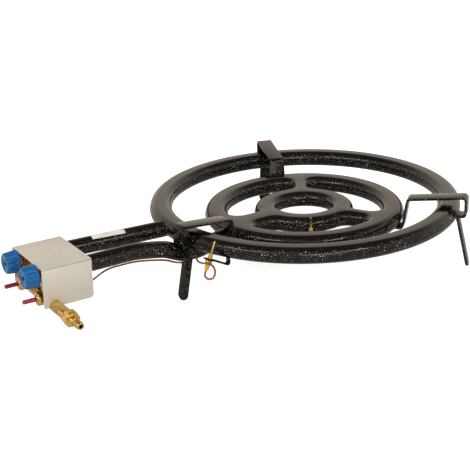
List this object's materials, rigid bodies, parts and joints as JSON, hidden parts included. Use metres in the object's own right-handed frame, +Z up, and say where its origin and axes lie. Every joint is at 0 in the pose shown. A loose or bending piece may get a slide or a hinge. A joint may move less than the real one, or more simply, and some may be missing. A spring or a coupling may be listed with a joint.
{
  "type": "paella gas burner",
  "caption": "Gas paella burner: an outer ring and a lower inner burner on legs with bent pan supports, fed by tubes from a box with taps, knobs, safety buttons and a side hose inlet.",
  "frame": {"origin": "middle of the footprint, on the surface that the legs stand on", "axes": "+X from the control box towards the rings, +Y away from the gas inlet's side, +Z up"},
  "size_m": [0.7598, 0.5088, 0.1175],
  "materials": {
    "enamel": "black glossy vitreous enamel with fine pale specks",
    "zinc_sheet": "satin zinc-plated steel sheet",
    "brass": "machined brass",
    "blue_plastic": "moulded blue plastic",
    "red_plastic": "moulded red plastic",
    "steel": "bare steel",
    "copper": "drawn copper capillary",
    "yellow_sleeve": "heat-resistant yellow sleeve"
  },
  "bodies": {
    "burner": {"outer_ring_upper_shell": "enamel", "outer_ring_lower_shell": "enamel", "inner_burner_upper_shell": "enamel", "inner_burner_lower_shell": "enamel", "outer_feed_tube": "enamel", "inner_feed_tube": "enamel", "pan_support_1": "enamel", "pan_support_2": "enamel", "pan_support_3": "enamel", "leg_1": "enamel", "leg_2": "enamel", "leg_3": "enamel", "control_box_body": "zinc_sheet", "control_box_lid": "zinc_sheet", "manifold_tube": "brass", "manifold_end_plug": "brass", "inlet_union_nut": "brass", "hose_nozzle": "brass", "outer_sensor_bracket": "enamel", "outer_air_cup": "zinc_sheet", "outer_tap_body": "brass", "outer_tap_bonnet": "brass", "outer_magnet_head": "brass", "outer_injector": "brass", "outer_sensor_connector": "brass", "outer_sensor_body": "brass", "outer_sensor_nut": "brass", "outer_sensor_probe": "steel", "outer_sensor_lead": "copper", "outer_sensor_sleeve": "yellow_sleeve", "inner_sensor_bracket": "enamel", "inner_air_cup": "zinc_sheet", "inner_tap_body": "brass", "inner_tap_bonnet": "brass", "inner_magnet_head": "brass", "inner_injector": "brass", "inner_sensor_connector": "brass", "inner_sensor_body": "brass", "inner_sensor_nut": "brass", "inner_sensor_probe": "steel", "inner_sensor_lead": "copper", "inner_sensor_sleeve": "yellow_sleeve"},
    "outer_knob_turning": {"outer_knob": "blue_plastic", "outer_tap_spindle": "steel", "outer_tap_plug": "brass"},
    "outer_button_sliding": {"outer_push_button": "red_plastic"},
    "inner_knob_turning": {"inner_knob": "blue_plastic", "inner_tap_spindle": "steel", "inner_tap_plug": "brass"},
    "inner_button_sliding": {"inner_push_button": "red_plastic"}
  },
  "joints": [
    {"name": "outer_knob_turn", "type": "hinge", "parent": "burner", "child": "outer_knob_turning", "pos_m": [-0.3549, 0.03087, 0.087], "axis": [-1, 0, 0], "range_deg": [0, 180]},
    {"name": "outer_button_push", "type": "slide", "parent": "burner", "child": "outer_button_sliding", "axis": [1, 0, 0], "range_m": [0, 0.005], "stiffness_N_per_m": 800},
    {"name": "inner_knob_turn", "type": "hinge", "parent": "burner", "child": "inner_knob_turning", "pos_m": [-0.3549, -0.03813, 0.087], "axis": [-1, 0, 0], "range_deg": [0, 180]},
    {"name": "inner_button_push", "type": "slide", "parent": "burner", "child": "inner_button_sliding", "axis": [1, 0, 0], "range_m": [0, 0.005], "stiffness_N_per_m": 800}
  ]
}
